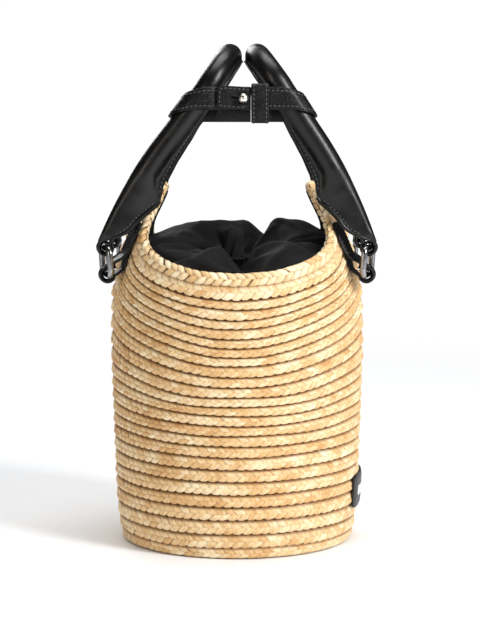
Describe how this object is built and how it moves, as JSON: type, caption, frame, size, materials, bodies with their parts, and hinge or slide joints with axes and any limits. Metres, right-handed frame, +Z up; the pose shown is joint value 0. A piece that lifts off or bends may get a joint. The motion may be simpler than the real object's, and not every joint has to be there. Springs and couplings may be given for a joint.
{
  "type": "straw bucket bag",
  "caption": "Small round straw bucket bag with gathered fabric closure, rolled leather handles hung on metal rings, and a buttoned strap that binds the handles.",
  "frame": {"origin": "centre of the round base, on its underside", "axes": "+Z up; +X towards the front face, which carries the label patch; +Y towards the far side of the view, so the near strap side faces -Y"},
  "size_m": [0.189, 0.1754, 0.3435],
  "materials": {
    "straw": "sewn straw plait, matt with a slight sheen",
    "straw_rim": "folded straw plait, matt",
    "straw_base": "sewn straw plait, matt",
    "board": "pressed fibre sheet, matt",
    "lining": "dark woven cotton, matt",
    "collar": "dark woven cotton, gathered",
    "cord": "braided cord, matt",
    "label": "soft moulded patch, satin",
    "tab_leather": "smooth leather, satin",
    "ring_metal": "polished gunmetal",
    "handle_leather": "smooth rolled leather, satin",
    "handle_core": "twisted fibre cord",
    "strap_leather": "grained leather, satin",
    "stud_metal": "polished"
  },
  "bodies": {
    "basket": {"straw_wall": "straw", "straw_base": "straw_base", "rim_braid": "straw_rim", "base_board": "board", "lining_pouch": "lining", "gathered_collar": "collar", "drawstring_cord": "cord", "label_patch": "label", "tab_back_near": "tab_leather", "tab_back_far": "tab_leather", "tab_front_near": "tab_leather", "tab_front_far": "tab_leather"},
    "ring_back_near": {"ring_back_near": "ring_metal"},
    "ring_back_far": {"ring_back_far": "ring_metal"},
    "ring_front_near": {"ring_front_near": "ring_metal"},
    "ring_front_far": {"ring_front_far": "ring_metal"},
    "back_handle": {"handle_cover_back": "handle_leather", "handle_core_back": "handle_core", "strap_band_back": "strap_leather", "stud": "stud_metal"},
    "front_handle": {"handle_cover_front": "handle_leather", "handle_core_front": "handle_core", "strap_band_front": "strap_leather", "strap_keeper": "strap_leather"},
    "strap_tip": {"strap_tip": "strap_leather"}
  },
  "joints": [
    {"name": "back_ring_swing", "type": "hinge", "parent": "basket", "child": "ring_back_near", "pos_m": [-0.088, -0.038, 0.187], "axis": [0, -1, 0], "range_deg": [0, 90]},
    {"name": "back_far_ring_swing", "type": "hinge", "parent": "basket", "child": "ring_back_far", "pos_m": [-0.088, 0.038, 0.187], "axis": [0, -1, 0], "range_deg": [0, 90]},
    {"name": "back_handle_swing", "type": "hinge", "parent": "ring_back_near", "child": "back_handle", "pos_m": [-0.0892, -0.038, 0.2054], "axis": [0, -1, 0], "range_deg": [0, 75]},
    {"name": "front_ring_swing", "type": "hinge", "parent": "basket", "child": "ring_front_near", "pos_m": [0.088, -0.038, 0.187], "axis": [0, 1, 0], "range_deg": [0, 90]},
    {"name": "front_far_ring_swing", "type": "hinge", "parent": "basket", "child": "ring_front_far", "pos_m": [0.088, 0.038, 0.187], "axis": [0, 1, 0], "range_deg": [0, 90]},
    {"name": "front_handle_swing", "type": "hinge", "parent": "ring_front_near", "child": "front_handle", "pos_m": [0.0892, -0.038, 0.2054], "axis": [0, 1, 0], "range_deg": [0, 75]},
    {"name": "strap_tip_lift", "type": "hinge", "parent": "front_handle", "child": "strap_tip", "pos_m": [0.0092, -0.0486, 0.3055], "axis": [0, 0, 1], "range_deg": [0, 50]}
  ],
  "couplings": [
    {"joint": "back_far_ring_swing", "follows": "back_ring_swing", "ratio": 1},
    {"joint": "front_far_ring_swing", "follows": "front_ring_swing", "ratio": 1}
  ]
}
